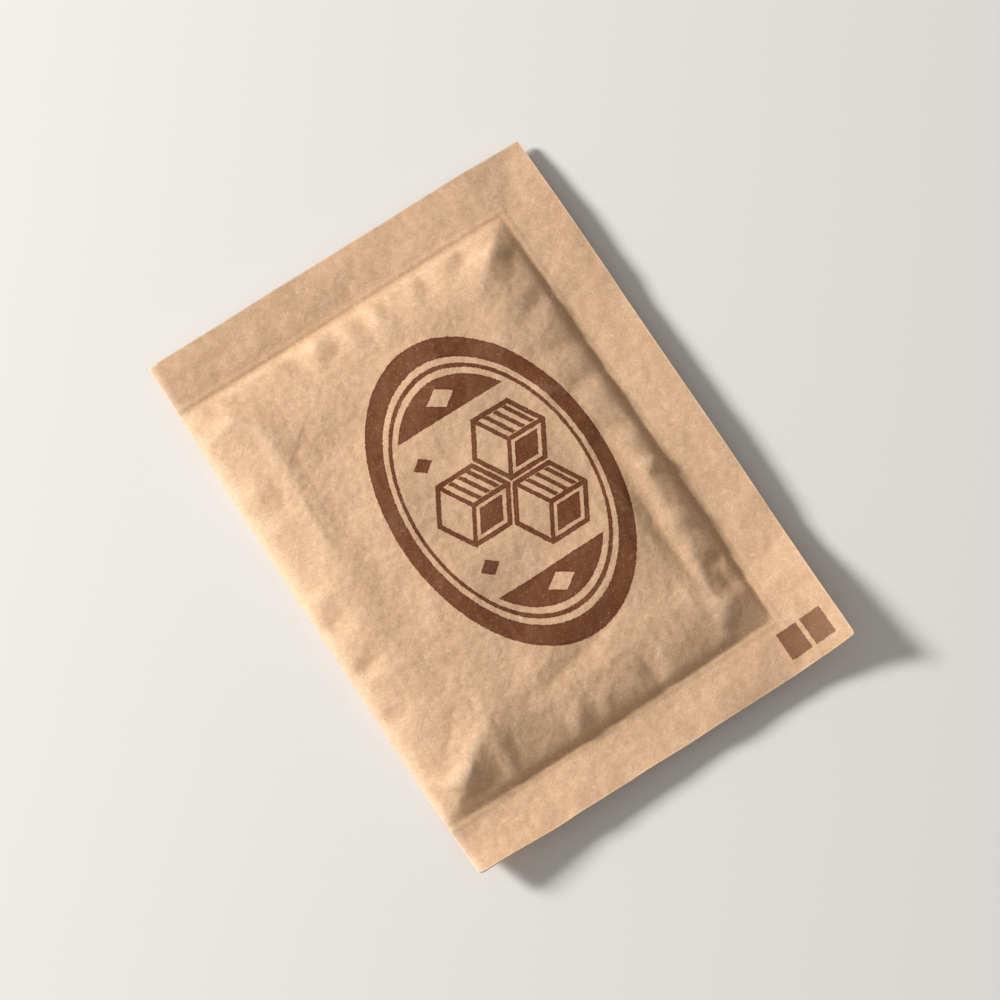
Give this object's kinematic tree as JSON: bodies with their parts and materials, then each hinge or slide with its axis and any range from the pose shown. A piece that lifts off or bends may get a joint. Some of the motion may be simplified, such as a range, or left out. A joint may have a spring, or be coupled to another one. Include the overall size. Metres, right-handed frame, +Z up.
{
  "type": "turbinado sugar packet",
  "caption": "Small sealed kraft-paper sugar packet lying flat, with a soft pillow of sugar, one folded long edge and three flat sealed margins.",
  "frame": {"origin": "on the resting surface, under the middle of the packet's outline", "axes": "+X along the packet's length, +Y across it towards the folded edge, +Z up through the printed front"},
  "size_m": [0.066, 0.0474, 0.0049],
  "materials": {
    "kraft_paper": "matte"
  },
  "bodies": {
    "root": {"packet": "kraft_paper"}
  },
  "joints": []
}
